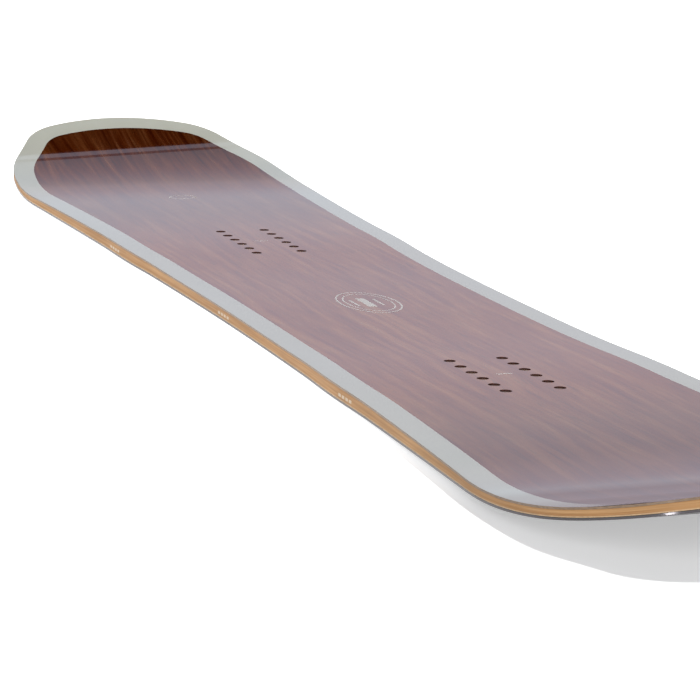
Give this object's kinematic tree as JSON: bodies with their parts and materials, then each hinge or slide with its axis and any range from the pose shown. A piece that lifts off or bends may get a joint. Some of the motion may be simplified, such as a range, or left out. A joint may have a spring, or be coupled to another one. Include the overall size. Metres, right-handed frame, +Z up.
{
  "type": "snowboard",
  "caption": "Twin-tip all-mountain snowboard deck with walnut veneer inlay, pale border, bamboo sidewall, steel edges and binding inserts; no bindings fitted.",
  "frame": {"origin": "on the running surface at mid-length and mid-width, where the base is flat", "axes": "+X along the board to the nose, +Y to the left edge, +Z up out of the deck"},
  "size_m": [1.4732, 0.2738, 0.0563],
  "materials": {
    "base": "satin",
    "edge_steel": "satin",
    "damping_rubber": "matte",
    "glass_laminate": "satin",
    "bamboo": "satin",
    "core_wood": "matte",
    "tip_plastic": "matte",
    "border_film": "gloss",
    "walnut_veneer": "gloss",
    "insert_steel": "satin",
    "seal_foam": "matte"
  },
  "bodies": {
    "root": {"base_sheet": "base", "steel_edge_left": "edge_steel", "steel_edge_right": "edge_steel", "steel_edge_nose": "edge_steel", "steel_edge_tail": "edge_steel", "tip_spacer_nose": "tip_plastic", "tip_spacer_tail": "tip_plastic", "damping_strip_left": "damping_rubber", "damping_strip_right": "damping_rubber", "lower_ply_inner": "glass_laminate", "lower_ply_outer": "glass_laminate", "upper_ply": "glass_laminate", "sidewall_left": "bamboo", "sidewall_right": "bamboo", "sidewall_nose": "bamboo", "sidewall_tail": "bamboo", "core_stringer_1": "core_wood", "core_stringer_2": "core_wood", "core_stringer_3": "core_wood", "core_stringer_4": "core_wood", "core_stringer_5": "core_wood", "core_stringer_6": "core_wood", "core_stringer_7": "core_wood", "core_stringer_8": "core_wood", "core_stringer_9": "core_wood", "deck_border": "border_film", "deck_inlay": "walnut_veneer", "inserts_nose_left": "insert_steel", "seal_discs_nose_left": "seal_foam", "inserts_nose_right": "insert_steel", "seal_discs_nose_right": "seal_foam", "inserts_tail_left": "insert_steel", "seal_discs_tail_left": "seal_foam", "inserts_tail_right": "insert_steel", "seal_discs_tail_right": "seal_foam"}
  },
  "joints": []
}
